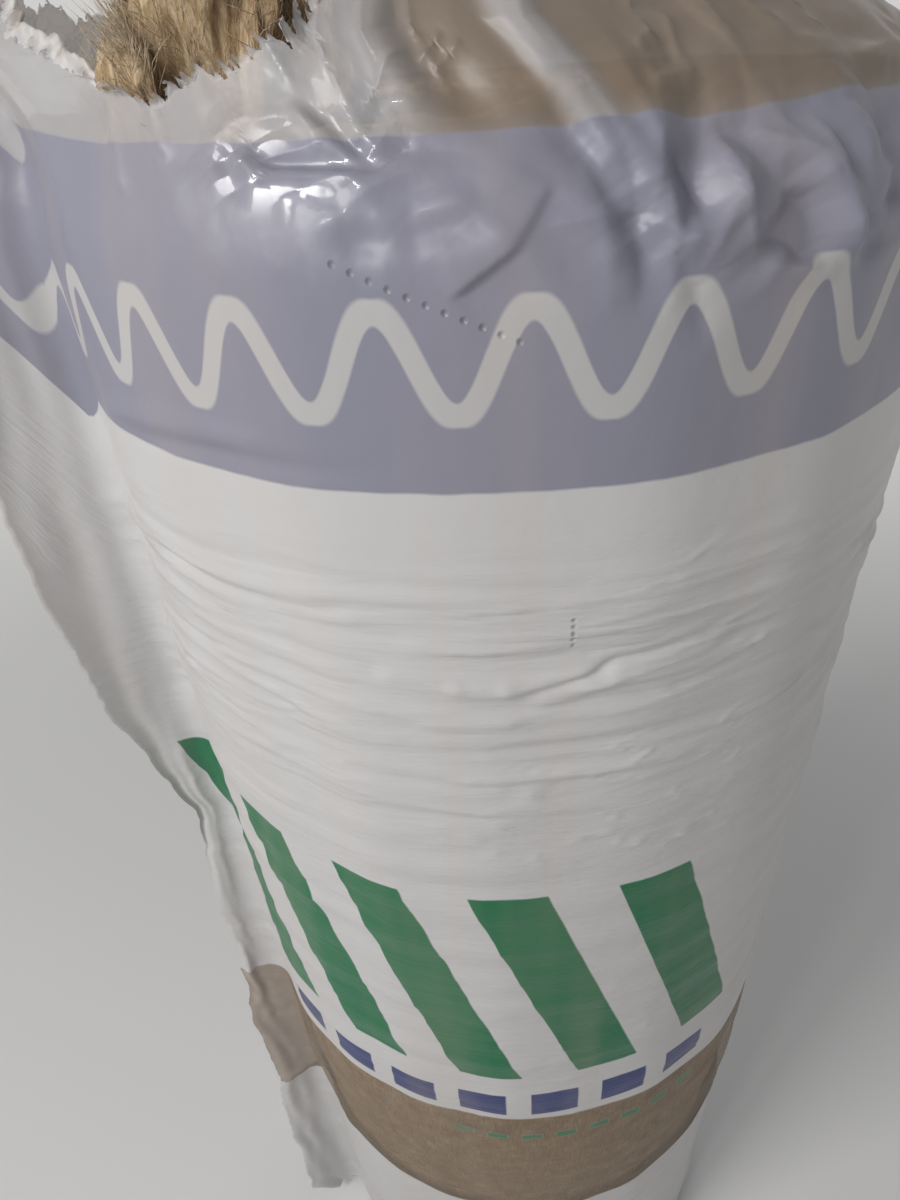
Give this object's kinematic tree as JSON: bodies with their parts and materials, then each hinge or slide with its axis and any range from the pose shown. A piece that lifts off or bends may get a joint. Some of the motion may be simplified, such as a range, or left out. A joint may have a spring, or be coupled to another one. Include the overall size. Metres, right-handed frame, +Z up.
{
  "type": "insulation roll",
  "caption": "Glass wool loft insulation, rolled tight and stood on its end in a printed plastic film sleeve whose gathered top is torn open at one side",
  "frame": {"origin": "middle of the foot, on the floor, on the axis of the roll", "axes": "+Z up along the roll's axis, -Y to the front that the picture shows, +X to the right of the front"},
  "size_m": [0.4892, 0.4506, 1.2165],
  "materials": {
    "glass_wool": "matt, fibrous",
    "film": "thin white film, soft gloss"
  },
  "bodies": {
    "root": {"wool_roll": "glass_wool", "film_wrap": "film"}
  },
  "joints": []
}
